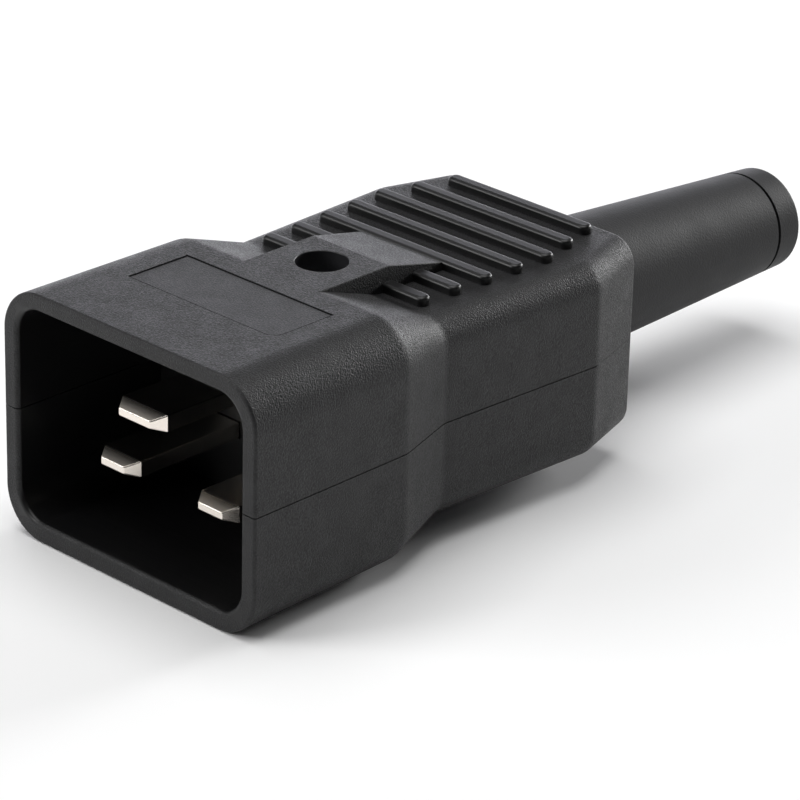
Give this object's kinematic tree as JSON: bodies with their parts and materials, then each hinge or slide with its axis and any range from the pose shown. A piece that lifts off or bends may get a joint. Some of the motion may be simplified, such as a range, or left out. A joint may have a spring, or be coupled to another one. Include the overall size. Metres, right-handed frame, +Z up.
{
  "type": "rewireable plug",
  "caption": "Black rewireable appliance plug: flat pins inside a rectangular shroud, a ribbed split casing held by a screw, and a tapered bend sleeve for the cord.",
  "frame": {"origin": "centre of the front opening, on the plane of the shroud's rim", "axes": "+Y from the rim towards the bend sleeve, +Z up through the screw face, +X to the right seen from the front"},
  "size_m": [0.0332, 0.0897, 0.0251],
  "materials": {
    "casing": "fine spark-eroded grain, near black",
    "carrier": "smooth, near black",
    "pin": "nickel plated, bright",
    "screw": "zinc plated",
    "clamp": "moulded, near black",
    "sleeve": "soft moulded, satin"
  },
  "bodies": {
    "root": {"upper_shell": "casing", "lower_shell": "casing", "pin_carrier": "carrier", "line_pin": "pin", "neutral_pin": "pin", "earth_pin": "pin", "line_terminal_screw": "screw", "neutral_terminal_screw": "screw", "earth_terminal_screw": "screw", "cord_clamp": "clamp", "left_clamp_screw": "screw", "right_clamp_screw": "screw", "housing_screw": "screw", "housing_nut": "screw", "bend_sleeve": "sleeve"}
  },
  "joints": []
}
